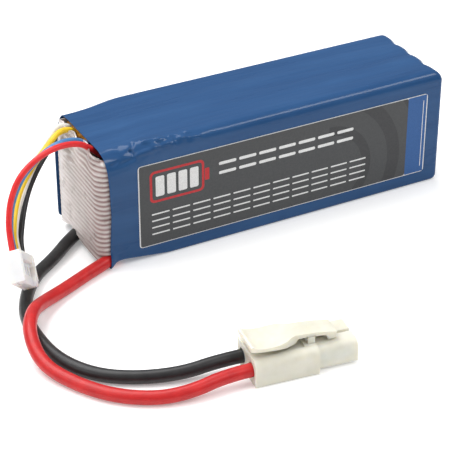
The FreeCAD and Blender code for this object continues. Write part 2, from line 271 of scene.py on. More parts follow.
class Finish:
    """A node material, with the few nodes that the pack's finishes are made from."""

    def __init__(self, name, roughness=0.5, metallic=0.0, **sockets):
        self.material = bpy.data.materials.new(name)
        self.material.use_nodes = True
        self.tree = self.material.node_tree
        self.shader = self.tree.nodes["Principled BSDF"]
        self.shader.inputs["Roughness"].default_value = roughness
        self.shader.inputs["Metallic"].default_value = metallic
        for key, value in sockets.items():
            self.shader.inputs[key.replace("_", " ")].default_value = value
        self.place = self.node("ShaderNodeTexCoord").outputs["Object"]

    def node(self, kind, **settings):
        made = self.tree.nodes.new(kind)
        for key, value in settings.items():
            setattr(made, key, value)
        return made

    def link(self, out, into):
        self.tree.links.new(out, into)

    def mapped(self, scale=(1, 1, 1), turn=(0, 0, 0), start=(0, 0, 0)):
        node = self.node("ShaderNodeMapping")
        node.inputs["Scale"].default_value = scale
        node.inputs["Rotation"].default_value = turn
        node.inputs["Location"].default_value = start
        self.link(self.place, node.inputs["Vector"])
        return node.outputs["Vector"]

    def noise(self, scale, detail=4.0, roughness=0.5, stretch=(1, 1, 1), distortion=0.0):
        """Noise whose scale is in grains per millimetre."""
        node = self.node("ShaderNodeTexNoise")
        node.inputs["Scale"].default_value = scale / MM
        node.inputs["Detail"].default_value = detail
        node.inputs["Roughness"].default_value = roughness
        node.inputs["Distortion"].default_value = distortion
        self.link(self.mapped(stretch), node.inputs["Vector"])
        return node.outputs["Fac"]

    def maths(self, operation, a, b=None, clamp=False):
        node = self.node("ShaderNodeMath", operation=operation, use_clamp=clamp)
        for socket, value in zip(node.inputs, (a, b)):
            if value is None:
                continue
            if isinstance(value, (int, float)):
                socket.default_value = value
            else:
                self.link(value, socket)
        return node.outputs["Value"]

    def axes(self):
        """The place's three coordinates in millimetres."""
        node = self.node("ShaderNodeSeparateXYZ")
        self.link(self.place, node.inputs["Vector"])
        return [self.maths("MULTIPLY", out, 1 / MM) for out in node.outputs]

    def shades(self, value, *stops):
        """A colour ramp; each stop is (place, colour)."""
        node = self.node("ShaderNodeValToRGB")
        points = node.color_ramp.elements
        while len(points) < len(stops):
            points.new(0.5)
        for point, (place, colour) in zip(points, stops):
            point.position = place
            point.color = (*colour, 1)
        self.link(value, node.inputs["Fac"])
        return node.outputs["Color"]

    def mix(self, share, a, b):
        node = self.node("ShaderNodeMix", data_type="RGBA")
        if isinstance(share, (int, float)):
            node.inputs["Factor"].default_value = share
        else:
            self.link(share, node.inputs["Factor"])
        colours = [s for s in node.inputs if s.type == "RGBA"]
        for socket, value in zip(colours, (a, b)):
            if isinstance(value, tuple):
                socket.default_value = (*value, 1)
            else:
                self.link(value, socket)
        return [s for s in node.outputs if s.type == "RGBA"][0]

    def colour(self, value):
        socket = self.shader.inputs["Base Color"]
        if isinstance(value, tuple):
            socket.default_value = (*value, 1)
        else:
            self.link(value, socket)
        return self

    def rough(self, value, low, high):
        """Roughness that goes from low to high with a value."""
        node = self.node("ShaderNodeMapRange")
        node.inputs["To Min"].default_value = low
        node.inputs["To Max"].default_value = high
        self.link(value, node.inputs["Value"])
        self.link(node.outputs["Result"], self.shader.inputs["Roughness"])
        return self

    def bump(self, *heights):
        """Raises the surface; each height is (value, depth in mm). They add up."""
        normal = None
        for value, depth in heights:
            node = self.node("ShaderNodeBump")
            node.inputs["Strength"].default_value = 1.0
            node.inputs["Distance"].default_value = depth * MM
            self.link(value, node.inputs["Height"])
            if normal:
                self.link(normal, node.inputs["Normal"])
            normal = node.outputs["Normal"]
        self.link(normal, self.shader.inputs["Normal"])
        return self


def sleeve_finish():
    made = Finish(
        "shrink_film_blue", 0.3, Coat_Weight=0.25, Coat_Roughness=0.06,
        Specular_IOR_Level=0.08,
    )
    streaks = made.noise(0.22, 3, 0.5, (0.12, 1, 1))
    cloudy = made.noise(0.06, 3, 0.5)
    base = made.shades(streaks, (0.25, (0.0115, 0.050, 0.140)), (0.72, (0.026, 0.088, 0.215)))
    made.colour(made.mix(cloudy, base, (0.016, 0.061, 0.165)))
    made.rough(streaks, 0.22, 0.36)
    made.bump((streaks, 0.35), (made.noise(1.1, 4, 0.55, (0.5, 1, 1)), 0.02))
    return made.material


def silicone_finish(name, low, high, roughness=0.36):
    """Jacket of a lead: dusty silicone, a little cloudy, with a fine grain."""
    made = Finish(name, roughness, Specular_IOR_Level=0.35)
    cloud = made.noise(0.35, 4, 0.6)
    fine = made.noise(3.0, 4, 0.6)
    made.colour(made.shades(cloud, (0.3, low), (0.7, high)))
    made.rough(fine, roughness - 0.06, roughness + 0.1)
    made.bump((cloud, 0.05), (fine, 0.012))
    return made.material


def nylon_finish(name, low, high, radius=(1.6, 1.2, 0.7)):
    """Moulded nylon, which lets a little light in."""
    made = Finish(
        name, 0.42, Subsurface_Weight=0.5, Subsurface_Scale=2.0 * MM,
        Subsurface_Radius=(1, 1, 1),
        Specular_IOR_Level=0.35,
    )
    made.shader.inputs["Subsurface Radius"].default_value = radius
    cloud = made.noise(0.25, 3, 0.5)
    grain = made.noise(6.0, 3, 0.6)
    made.colour(made.shades(cloud, (0.3, low), (0.7, high)))
    made.rough(grain, 0.36, 0.5)
    made.bump((grain, 0.015), (cloud, 0.06))
    return made.material


def metal_finish(name, low, high, roughness, stretch=(1, 1, 1)):
    made = Finish(name, roughness, 1.0)
    drawn = made.noise(2.5, 4, 0.6, stretch)
    made.colour(made.shades(drawn, (0.3, low), (0.7, high)))
    made.rough(drawn, roughness - 0.08, roughness + 0.12)
    made.bump((drawn, 0.01))
    return made.material


RIB_PITCH = 1.4
RIB_LEAN = 0.0022


def rib_height(y, z):
    """How far up its rib a place on the end tape lies; ribs climb to the far side."""
    return z - RIB_LEAN * (y + 15) * (z - 2)


def filament_finish():
    """Clear tape over bundles of glass filament, pale on the ribs, darker between them: the
    tape's own tint there is deepened with painted shade in the valleys, most toward the near
    edge.
    """
    made = Finish(
        "filament_tape", 0.32, Specular_IOR_Level=0.3, Coat_Weight=0.5, Coat_Roughness=0.1,
    )
    x, y, z = made.axes()
    lean = made.maths("MULTIPLY", made.maths("ADD", y, 15), made.maths("SUBTRACT", z, 2))
    height = made.maths("SUBTRACT", z, made.maths("MULTIPLY", lean, RIB_LEAN))
    wobble = made.maths("MULTIPLY", made.noise(0.15, 2, 0.5), 0.5)
    height = made.maths("ADD", height, wobble)
    turn = made.maths("MULTIPLY", height, 2 * math.pi / RIB_PITCH)
    wave = made.maths("SINE", turn)
    rib = made.maths("MULTIPLY_ADD", wave, 0.5)
    rib.node.inputs[2].default_value = 0.5
    cloud = made.noise(0.3, 4, 0.6)
    pale = made.shades(cloud, (0.3, (0.60, 0.565, 0.535)), (0.7, (0.72, 0.69, 0.67)))
    # The dark colour for the valleys is the tape's tint deepened with painted shade, where the
    # ribs' hollows fall into shade
    valley_tint_and_shade = made.shades(cloud, (0.3, (0.21, 0.11, 0.105)), (0.7, (0.33, 0.20, 0.195)))
    ribs_with_painted_shade = made.mix(made.maths("POWER", rib, 0.6), valley_tint_and_shade, pale)
    # Painted shade in the valleys is strongest at the near edge, where the tape turns round the
    # corner, and fades away from it
    near_edge_shade_fade = made.maths("MULTIPLY_ADD", y, 1 / 16, True)
    near_edge_shade_fade.node.inputs[2].default_value = 14 / 16
    # Away from the near edge the valleys keep only a faint painted shade
    ribs_with_faint_shade = made.mix(made.maths("MULTIPLY", rib, 0.5), made.mix(0.35, pale, valley_tint_and_shade), pale)
    made.colour(made.mix(near_edge_shade_fade, ribs_with_painted_shade, ribs_with_faint_shade))
    threads = made.maths("SINE", made.maths("MULTIPLY", height, 2 * math.pi / 0.23))
    made.rough(cloud, 0.2, 0.4)
    made.bump((threads, 0.012), (cloud, 0.1))
    return made.material


def polyimide_finish():
    made = Finish("polyimide_film", 0.2, Coat_Weight=0.8, Coat_Roughness=0.08)
    cloud = made.noise(0.4, 4, 0.6)
    made.colour(made.shades(cloud, (0.3, (0.36, 0.13, 0.01)), (0.75, (0.66, 0.30, 0.04))))
    made.bump((cloud, 0.2))
    return made.material


def foil_finish():
    made = Finish("pouch_foil", 0.34, 0.85)
    creased = made.noise(0.5, 5, 0.6, (1, 1, 0.6), 0.4)
    fine = made.noise(5.0, 3, 0.6)
    made.colour(made.shades(creased, (0.3, (0.55, 0.56, 0.57)), (0.7, (0.76, 0.77, 0.78))))
    made.rough(fine, 0.26, 0.42)
    made.bump((creased, 0.22), (fine, 0.008))
    return made.material


def plain_finish(name, low, high, roughness, scale, depth, **sockets):
    """A matt or satin finish with its own grain."""
    made = Finish(name, roughness, **sockets)
    grain = made.noise(scale, 5, 0.6)
    made.colour(made.shades(grain, (0.3, low), (0.7, high)))
    made.rough(grain, roughness - 0.06, roughness + 0.08)
    made.bump((grain, depth))
    return made.material


def label_field_finish():
    """Dark printed film, with faint darker rings toward the right-hand end."""
    made = Finish(
        "label_field", 0.36, Specular_IOR_Level=0.2, Coat_Weight=0.1, Coat_Roughness=0.15,
    )
    x, y, z = made.axes()
    dx = made.maths("SUBTRACT", x, 16.0)
    dz = made.maths("SUBTRACT", z, 12.0)
    away = made.maths(
        "SQRT", made.maths("ADD", made.maths("MULTIPLY", dx, dx), made.maths("MULTIPLY", dz, dz))
    )
    ring = made.maths("SINE", made.maths("MULTIPLY", away, 2 * math.pi / 9.5))
    band = made.maths("GREATER_THAN", ring, 0.25)
    beyond = made.maths("GREATER_THAN", away, 11.0)
    right = made.maths("GREATER_THAN", x, 16.0)
    shade = made.maths("MULTIPLY", made.maths("MULTIPLY", band, beyond), right)
    grain = made.noise(2.2, 4, 0.6)
    plain = made.shades(grain, (0.3, (0.048, 0.050, 0.052)), (0.7, (0.060, 0.062, 0.064)))
    dark = made.shades(grain, (0.3, (0.034, 0.035, 0.037)), (0.7, (0.044, 0.045, 0.047)))
    made.colour(made.mix(shade, plain, dark))
    made.rough(made.noise(0.2, 3, 0.5, (0.3, 1, 1)), 0.28, 0.42)
    made.bump((made.noise(0.16, 2, 0.5, (0.3, 1, 1)), 0.15), (grain, 0.01))
    return made.material


def print_finish(name, low, high):
    """Ink or paper on the label."""
    made = Finish(name, 0.4, Specular_IOR_Level=0.2)
    grain = made.noise(4.0, 4, 0.7)
    made.colour(made.shades(grain, (0.32, low), (0.62, high)))
    made.bump((grain, 0.008))
    return made.material


blue_film = sleeve_finish()
red_jacket = silicone_finish("silicone_red", (0.42, 0.010, 0.012), (0.55, 0.018, 0.018))
black_jacket = silicone_finish("silicone_black", (0.012, 0.012, 0.013), (0.024, 0.024, 0.025))
wire_red = silicone_finish("wire_red", (0.60, 0.015, 0.02), (0.70, 0.03, 0.03), 0.3)
wire_blue = silicone_finish("wire_blue", (0.05, 0.16, 0.36), (0.09, 0.24, 0.46), 0.3)
wire_yellow = silicone_finish("wire_yellow", (0.72, 0.45, 0.015), (0.82, 0.56, 0.03), 0.3)
wire_white = silicone_finish("wire_white", (0.66, 0.65, 0.60), (0.78, 0.77, 0.73), 0.3)
wire_black = silicone_finish("wire_black", (0.010, 0.010, 0.011), (0.02, 0.02, 0.021), 0.32)
ivory_nylon = nylon_finish("nylon_ivory", (0.62, 0.60, 0.51), (0.69, 0.67, 0.585))
white_nylon = nylon_finish("nylon_white", (0.74, 0.73, 0.72), (0.80, 0.795, 0.79))
gold_plate = metal_finish("gold_plate", (0.70, 0.50, 0.20), (0.84, 0.64, 0.30), 0.26)
tin_plate = metal_finish("tin_plate", (0.60, 0.60, 0.62), (0.76, 0.76, 0.78), 0.28)
solder = metal_finish("solder", (0.55, 0.55, 0.56), (0.72, 0.72, 0.73), 0.3)
copper_strand = metal_finish("tinned_strand", (0.56, 0.50, 0.44), (0.74, 0.70, 0.65), 0.34)
nickel_strip = metal_finish(
    "nickel_strip", (0.52, 0.50, 0.46), (0.68, 0.66, 0.61), 0.32, (0.2, 1, 1)
)
aluminium_strip = metal_finish(
    "aluminium_strip", (0.66, 0.66, 0.67), (0.8, 0.8, 0.81), 0.34, (0.2, 1, 1)
)
pouch_foil = foil_finish()
filament = filament_finish()
polyimide = polyimide_finish()
foam = plain_finish("spacer_foam", (0.70, 0.69, 0.65), (0.82, 0.81, 0.77), 0.8, 3.0, 0.06)
fish_paper = plain_finish("fish_paper", (0.52, 0.45, 0.30), (0.62, 0.55, 0.39), 0.7, 1.6, 0.03)
solder_mask = plain_finish(
    "solder_mask", (0.008, 0.09, 0.035), (0.014, 0.14, 0.055), 0.3, 1.2, 0.02, Coat_Weight=0.5
)
label_field = label_field_finish()
label_paper = print_finish("label_paper", (0.50, 0.50, 0.50), (0.72, 0.72, 0.71))
ink_white = print_finish("ink_white", (0.52, 0.52, 0.52), (0.74, 0.74, 0.73))
ink_red = print_finish("ink_red", (0.36, 0.02, 0.025), (0.5, 0.035, 0.04))
ink_blue = print_finish("ink_blue", (0.022, 0.080, 0.23), (0.032, 0.102, 0.28))


def dress(piece, material):
    """Gives a piece one finish."""
    piece.data.materials.clear()
    piece.data.materials.append(material)


def node_finish(name, material):
    for slot in nodes[name].material_slots:
        slot.material = material


# ---------------------------------------------------------------- camera

camera = bpy.data.objects.new("camera", bpy.data.cameras.new("camera"))
bpy.context.collection.objects.link(camera)
camera.location = (-0.20179, -0.36337, 0.24459)
camera.rotation_euler = (math.radians(58.64), 0, math.radians(-28.06))
camera.data.sensor_width = 36
camera.data.lens = 136.3
camera.data.clip_start = 0.01
bpy.context.scene.camera = camera


# ---------------------------------------------------------------- leads and wires

POSITIVE_LEAD = [
    (-47.0, -12.6, 2.6), (-51.3, -14.1, 2.0), (-57.0, -16.3, 1.85), (-66.4, -20.7, 1.8),
    (-74.0, -25.4, 3.2), (-79.2, -31.5, 6.0), (-83.6, -39.7, 6.0), (-84.2, -48.7, 2.6),
    (-80.4, -58.0, 1.8), (-74.0, -67.5, 1.8), (-65.0, -73.6, 1.8), (-56.6, -75.6, 2.5),
    (-47.35, -75.05, 3.5), (-38.4, -76.2, 3.5),
]
NEGATIVE_LEAD = [
    (-47.0, 6.2, 2.05), (-54.3, 2.0, 1.9), (-62.3, -5.4, 1.8), (-69.8, -10.6, 1.8),
    (-75.7, -18.3, 1.8), (-79.7, -27.6, 1.8), (-80.6, -38.0, 1.8), (-79.3, -49.0, 1.8),
    (-74.0, -58.4, 1.8), (-65.3, -64.2, 1.8), (-55.5, -68.0, 2.4), (-46.5, -68.9, 3.5),
    (-37.6, -70.1, 3.5),
]
BALANCE_WIRES = {
    "red": [
        (-48.2, -7.0, 30.0), (-50.8, -7.0, 32.6), (-54.6, -8.0, 35.8), (-61.0, -9.5, 37.3),
        (-67.4, -11.0, 36.3), (-73.0, -12.5, 33.3), (-76.3, -14.0, 28.5),
        (-77.8, -15.3, 23.6), (-78.4, -16.9, 18.8), (-79.0, -20.4, 15.3),
    ],
    "blue": [
        (-48.2, -3.4, 30.0), (-50.8, -3.4, 32.6), (-54.9, -4.4, 35.2), (-60.6, -6.0, 35.9),
        (-66.8, -7.7, 33.7), (-72.1, -10.2, 30.6), (-75.4, -12.3, 26.2),
        (-76.9, -13.9, 22.0), (-77.7, -15.6, 17.5), (-77.9, -19.3, 14.0),
    ],
    "yellow": [
        (-48.2, 5.9, 30.0), (-50.6, 5.9, 32.2), (-54.9, 4.4, 33.6), (-59.3, 1.6, 31.9),
        (-64.9, -1.3, 28.7), (-69.9, -4.9, 25.7), (-73.3, -8.7, 22.5),
        (-75.4, -12.1, 19.4), (-76.6, -14.5, 16.1), (-76.9, -18.2, 12.7),
    ],
    "white": [
        (-48.2, 8.2, 30.0), (-50.6, 8.3, 32.2), (-54.6, 7.5, 33.4), (-58.5, 4.6, 31.0),
        (-63.2, 1.8, 27.6), (-67.5, -1.9, 24.3), (-71.5, -6.1, 20.8),
        (-74.2, -9.9, 17.7), (-75.7, -13.2, 14.9), (-75.8, -17.1, 11.4),
    ],
    "black": [
        (-48.2, 10.3, 30.0), (-50.4, 10.4, 31.7), (-53.2, 9.2, 31.4), (-56.8, 6.4, 28.4),
        (-62.0, 2.7, 25.6), (-66.6, -1.1, 22.0), (-69.9, -5.2, 18.6),
        (-72.2, -9.0, 16.2), (-74.1, -12.4, 13.6), (-74.8, -16.0, 10.1),
    ],
}
WIRE_FINISH = {
    "red": wire_red, "blue": wire_blue, "yellow": wire_yellow, "white": wire_white,
    "black": wire_black,
}


def make_cord(name, points, diameter, material):
    """A smooth spline with the route's points as its control points."""
    curve = bpy.data.curves.new(name, "CURVE")
    curve.dimensions = "3D"
    spline = curve.splines.new("NURBS")
    spline.points.add(len(points) - 1)
    for point, place in zip(spline.points, points):
        point.co = (*(c * MM for c in place), 1)
    spline.order_u = 3
    spline.use_endpoint_u = True
    spline.resolution_u = 10
    curve.bevel_depth = diameter / 2 * MM
    curve.bevel_resolution = 6
    curve.use_fill_caps = True
    curve.materials.append(material)
    cord = bpy.data.objects.new(name, curve)
    bpy.context.collection.objects.link(cord)
    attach(cord, "pack")
    return cord


lead_red = make_cord("power_lead_positive", POSITIVE_LEAD, LEAD_D, red_jacket)
lead_black = make_cord("power_lead_negative", NEGATIVE_LEAD, LEAD_D, black_jacket)
wires = {
    name: make_cord("balance_lead_" + name, points, WIRE_D, WIRE_FINISH[name])
    for name, points in BALANCE_WIRES.items()
}


# ---------------------------------------------------------------- shrink film

LIP_X = [  # how far the mouth's edge stands past MOUTH_X, by height, on the near side
    (0, 0.0), (6, -0.4), (16, -1.0), (24, -0.8), (31, -0.3), (34, -0.4),
]
WAIST = [  # how far the near bottom edge is drawn up, by place along the pack
    (-51.0, 0.2), (-49.9, 0.7), (-49.1, 1.3), (-47.6, 1.6), (-46.2, 1.66), (-44.7, 1.5),
    (-41.8, 1.1), (-38.8, 0.7), (-33, 0.0),
]
CREASES = [  # along the near top edge: start and end as (x, around), depth, width
    ((-41.4, 3.6), (-42.6, 0.8), 0.40, 0.40),
    ((-42.6, 0.8), (-42.2, -1.2), 0.35, 0.40),
    ((-48.5, -2.6), (-46.6, -1.8), 0.25, 0.45),
    ((-46.4, -3.0), (-42.6, -2.2), 0.25, 0.50),
    # minus depths stand out, where the cells are close behind the film
    ((-41.0, -1.4), (-32.8, -0.4), -0.45, 0.90),
    ((-38.5, 2.8), (-33.0, 1.8), -0.40, 0.80),
    ((-31.5, 2.4), (-31.2, -1.4), -0.28, 0.50),
    ((-29.5, 0.6), (-23.5, -0.4), -0.25, 0.60),
]


def to_segment(px, py, a, b):
    """The distance from a point to a straight piece of line."""
    (ax, ay), (bx, by) = a, b
    dx, dy = bx - ax, by - ay
    t = max(0.0, min(1.0, ((px - ax) * dx + (py - ay) * dy) / (dx * dx + dy * dy)))
    return math.hypot(px - ax - t * dx, py - ay - t * dy)


def around_near_edge(y, z):
    """How far past the near top edge a place is: over the top is plus, down the side minus."""
    return (y - NEAR_Y) - (TOP_Z - z)


CORNER_R, CORNER_GROWTH = 2.4, 3.4  # the near top edge, and how it grows to the mouth
MOUTH_DROP = 0.35  # how far the top comes down at the mouth


def corner_pull(gap):
    """Draws the near top edge in to a round that widens toward the mouth, less a gap."""
    def move(x, y, z):
        radius = CORNER_R + CORNER_GROWTH * ramp(-32, -49, x)
        top = TOP_Z - MOUTH_DROP * ramp(SHOULDER_X + 3, MOUTH_X + 1, x)
        dy, dz = y - (NEAR_Y + radius), z - (top - radius)
        away = math.hypot(dy, dz)
        if dy > 0 or dz < 0 or away < radius - gap:
            return (0, 0, 0)
        share = (radius - gap) / away - 1
        return (0, dy * share, dz * share)

    return move


def make_film():
    film = start_block("shrink_film", (MOUTH_X, END_X), (NEAR_Y, FAR_Y), (0, TOP_Z))

    def edge_share(middle, way):
        if middle.x < MOUTH_X + 1:
            return 0
        low, near = middle.z < 1, middle.y < NEAR_Y + 1
        if abs(way.x) > 0.9:
            return {(True, True): 0.36, (True, False): 0.6, (False, True): 0.96,
                    (False, False): 0.9}[(low, near)]
        return 0.4 if abs(way.z) > 0.9 and near else 0.9

    weigh_edges(film, 2.5, edge_share, 6)
    open_mesh(film)
    pick_faces(lambda c, n: n.x < -0.9)
    bpy.ops.mesh.delete(type="FACE")
    pick_faces(lambda c, n: n.x > 0.999 and abs(c.y) < 1 and abs(c.z - 17) < 2)
    bpy.ops.mesh.inset(thickness=2.2 * MM)
    bpy.ops.mesh.delete(type="FACE")
    slice_across(0, span(-50, -20, 0.6) + span(-18.5, 46, 2.2) + span(47, 52.6, 0.7))
    slice_across(1, span(-12.4, 12.8, 0.9))
    slice_across(2, span(1.5, 31.5, 1.0))
    pick_faces(lambda c, n: -49.8 < c.x < -23 and -8.0 < around_near_edge(c.y, c.z) < 8.5)
    bpy.ops.mesh.subdivide(number_cuts=1)
    close_mesh()

    def toward_mouth(x):
        return ramp(SHOULDER_X + 3, MOUTH_X + 1, x)

    # The far wall and the top draw in past the ends of the cells
    swell(film, "Y", -2.45, lambda x, y, z: toward_mouth(x) * (y - NEAR_Y) / 30.1
          * (0.57 + 0.43 * ramp(34, 26, z)))
    swell(film, "Z", -MOUTH_DROP, lambda x, y, z: toward_mouth(x) * z / TOP_Z)
    reshape(film, corner_pull(0))
    # The far side of the mouth reaches further out than the near side
    swell(film, "X", -2.8, lambda x, y, z: ramp(-44, MOUTH_X, x) * ramp(7.5, 12.3, y)
          * ramp(0.5, 4, z) * ramp(34.5, 26, z))
    swell(film, "X", 1.0, lambda x, y, z: ramp(-46, MOUTH_X, x) * ramp(-11, -14.5, y)
          * -table_lookup(LIP_X, z))
    # The near bottom edge is drawn up behind the mouth, and flares over the lead
    swell(film, "Y", -1.0, lambda x, y, z: ramp(-47.5, MOUTH_X, x) * ramp(-12, -14.6, y)
          * ramp(5.5, 2.5, z))
    rise = max(height for _, height in WAIST)
    swell(film, "Z", rise, lambda x, y, z: table_lookup(WAIST, x) / rise
          * ramp(-8.5, -14.6, y) * ramp(9, 0, z))
    # Puffed sides, with shallow valleys over the gaps between the cells
    swell(film, "Z", 0.4, lambda x, y, z: ramp(TOP_Z - 2, TOP_Z - 0.4, z) * ramp(-44, -34, x)
          * ramp(53, 50, x) * (0.9 + 0.1 * math.cos(2 * math.pi * (y + 3.75) / 7.5))
          * ramp(NEAR_Y, NEAR_Y + 3, y))
    swell(film, "Y", 0.25, lambda x, y, z: ramp(14.4, 15.0, y) * ramp(-34, -28, x)
          * ramp(52, 44, x) * math.sin(math.pi * max(0, min(1, z / TOP_Z))))
    # The closed end sinks in between the rounded ends of the cells
    def gap(y):
        return max(hump(g, 1.5, y) for g in GAP_YS)

    swell(film, "X", -0.8, lambda x, y, z: ramp(50.4, 52.4, x) * gap(y))
    swell(film, "Z", -0.2, lambda x, y, z: ramp(46, 52, x) * gap(y) * ramp(30, 33, z))
    # Puckers and creases where the film turned over the near top edge
    def crease(start, end, width):
        return lambda x, y, z: math.exp(
            -((to_segment(x, around_near_edge(y, z), start, end) / width) ** 2)
        ) * (1 if y < -5 else 0)

    swell(film, "NORMAL", 0.35, lambda x, y, z: hump(-38.5, 4.5, x)
          * hump(2.2, 2.6, around_near_edge(y, z)) * (1 if y < -5 else 0))
    swell(film, "NORMAL", 0.45, lambda x, y, z: hump(-34, 13, x)
          * hump(0.6, 3.4, around_near_edge(y, z)) * (1 if y < -5 else 0)
          * (0.5 + 0.5 * math.sin(1.15 * x + 0.9 * math.sin(0.7 * x))
             * math.cos(0.95 * around_near_edge(y, z) + 0.35 * x)))
    for start, end, depth, width in CREASES:
        swell(film, "NORMAL", -depth, crease(start, end, width))
    finish_with(film, "SOLIDIFY", thickness=0.2 * MM, offset=-1)
    smooth(film, 50)
    dress(film, blue_film)
    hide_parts("heat_shrink_sleeve")
    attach(film, "pack")
    return film


# ---------------------------------------------------------------- label

LABEL_X = (-41.7, 48.0)
LABEL_Z = (4.0, 28.7)
LABEL_FACE = -15.2  # the outer face of the CAD's label
BAND_X = 41.6  # where the blue band begins


def flat_patch(name, x, z, depth=(LABEL_FACE, LABEL_FACE + 0.03), corner=0.0):
    """A thin flat shape on the label, with its upright corners rounded."""
    patch = start_block(name, x, depth, z)
    if corner:
        open_mesh(patch, "EDGE")
        pick_edges(lambda c, way: abs(way.y) > 0.9)
        bpy.ops.mesh.bevel(offset=corner * MM, segments=4, affect="EDGES")
        close_mesh()
    return patch


def joined(name, pieces):
    take(pieces[0])
    for piece in pieces:
        piece.select_set(True)
    bpy.ops.object.join()
    piece = bpy.context.object
    piece.name = piece.data.name = name
    return piece


RULES = [  # plain bars on the label: left end, right end, foot, height
    (-18.0, 26.0, 23.2, 0.9), (-18.0, 26.0, 20.4, 0.9),
    (-38.0, 34.0, 13.2, 0.42), (-38.0, 34.0, 11.2, 0.42), (-38.0, 34.0, 9.2, 0.42),
    (-38.0, 34.0, 7.2, 0.42),
]
DASH = 5.2
DASH_GAP = 0.9


def plain_dashes():
    """Even dashes of one length along each rule, with no letters or words in them."""
    dashes = []
    for left, right, foot, height in RULES:
        at = left
        while at + DASH < right:
            dashes.append(flat_patch(
                "dash", (at, at + DASH), (foot, foot + height),
                (LABEL_FACE, LABEL_FACE + 0.02), height * 0.4,
            ))
            at += DASH + DASH_GAP
    return dashes


def make_label():
    paper = flat_patch("label_paper", LABEL_X, LABEL_Z, (-15.17, -15.03), 0.9)
    finish_label(paper, label_paper)
    field = flat_patch(
        "label_field", (LABEL_X[0] + 0.32, BAND_X), (LABEL_Z[0] + 0.2, LABEL_Z[1] - 0.16),
        (LABEL_FACE + 0.01, -15.16), 0.6,
    )
    finish_label(field, label_field)
    band = flat_patch(
        "label_band", (BAND_X, LABEL_X[1] - 0.3), (LABEL_Z[0] + 0.2, LABEL_Z[1] - 0.16),
        (LABEL_FACE + 0.01, -15.16), 0.3,
    )
    finish_label(band, ink_blue)

    dashes = plain_dashes()
    dashes.append(flat_patch(
        "line", (46.6, 46.8), (6.0, 26.8), (LABEL_FACE, LABEL_FACE + 0.02)
    ))
    finish_label(joined("label_rules", dashes), ink_white)

    # A plain picture of a battery: case, end button and four bars
    case = flat_patch("badge_case", (-38.4, -22.4), (16.9, 26.3), (LABEL_FACE, -15.18), 1.4)
    hollow = flat_patch("hollow", (-37.7, -23.1), (17.6, 25.6), (-16, -14), 0.9)
    carve(case, hollow)
    button = flat_patch("button", (-22.2, -20.9), (19.8, 23.4), (LABEL_FACE, -15.18), 0.3)
    finish_label(joined("label_badge_outline", [case, button]), ink_red)
    bars = []
    for i in range(4):
        left = -36.7 + i * 3.35
        bars.append(flat_patch(
            "bar", (left, left + 2.55), (18.6, 24.6), (LABEL_FACE, -15.18), 0.45
        ))
    finish_label(joined("label_badge_bars", bars), ink_white)


def finish_label(piece, material):
    dress(piece, material)
    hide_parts("label")
    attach(piece, "pack")


# ---------------------------------------------------------------- tapes over the end

def make_end_wrap():
    wrap = start_block("filament_tape_wrap", (-53.0, -41.6), (-14.5, 12.0), (2.1, 32.6))

    def edge_share(middle, way):
        if abs(way.z) < 0.9 or middle.x > -52:
            return 0
        return 1 if middle.y < 0 else 0.4

    weigh_edges(wrap, 3.0, edge_share, 7)
    open_mesh(wrap)
    pick_faces(lambda c, n: n.x > 0.9 or abs(n.z) > 0.9)
    bpy.ops.mesh.delete(type="FACE")
    slice_across(2, span(2.25, 32.5, 0.18))
    slice_across(1, span(-11.5, 9.0, 0.9))
    slice_across(0, [-49.5, -48, -46, -44])
    close_mesh()

    def rib(x, y, z):
        wander = 0.35 * math.sin(0.31 * y + 0.2 * z) + 0.2 * math.sin(0.13 * z * y + 1.3)
        turn = 2 * math.pi * (rib_height(y, z) + 0.25 * wander) / RIB_PITCH
        return (0.5 + 0.5 * math.sin(turn)) * ramp(-43, -46, x)

    # The near and upper edges stand a little further out, and a fold runs down from the top
    swell(wrap, "Z", 1.5, lambda x, y, z: ramp(26, 30.6, z)
          * (0.35 + 0.65 * hump(-6, 7, y) + 0.3 * math.sin(0.9 * y)))
    swell(wrap, "X", 0.9, lambda x, y, z: ramp(26, 31, z) * (0.6 + 0.4 * math.sin(0.8 * y)))
    swell(wrap, "NORMAL", -0.5, lambda x, y, z: math.exp(
        -((to_segment(y, z, (9.5, 30), (1.5, 25.6)) / 0.5) ** 2)) * ramp(-50, -52.5, x))
    swell(wrap, "NORMAL", 0.45, lambda x, y, z: math.exp(
        -((to_segment(y, z, (10.5, 29), (2.5, 24.6)) / 0.7) ** 2)) * ramp(-50, -52.5, x))
    # Its lower edge arches over the two leads
    swell(wrap, "Z", 1.5, lambda x, y, z: ramp(6.5, 3.2, z) * hump(5.2, 3, y))
    swell(wrap, "NORMAL", -0.34, lambda x, y, z: (1 - rib(x, y, z))
          * (0.2 + 0.8 * ramp(11.5, 6, y)))
    reshape(wrap, corner_pull(0.5))
    finish_with(wrap, "SOLIDIFY", thickness=0.3 * MM, offset=-1)
    smooth(wrap, 60)
    dress(wrap, filament)
    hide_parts("end_wrap_tape")
    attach(wrap, "pack")


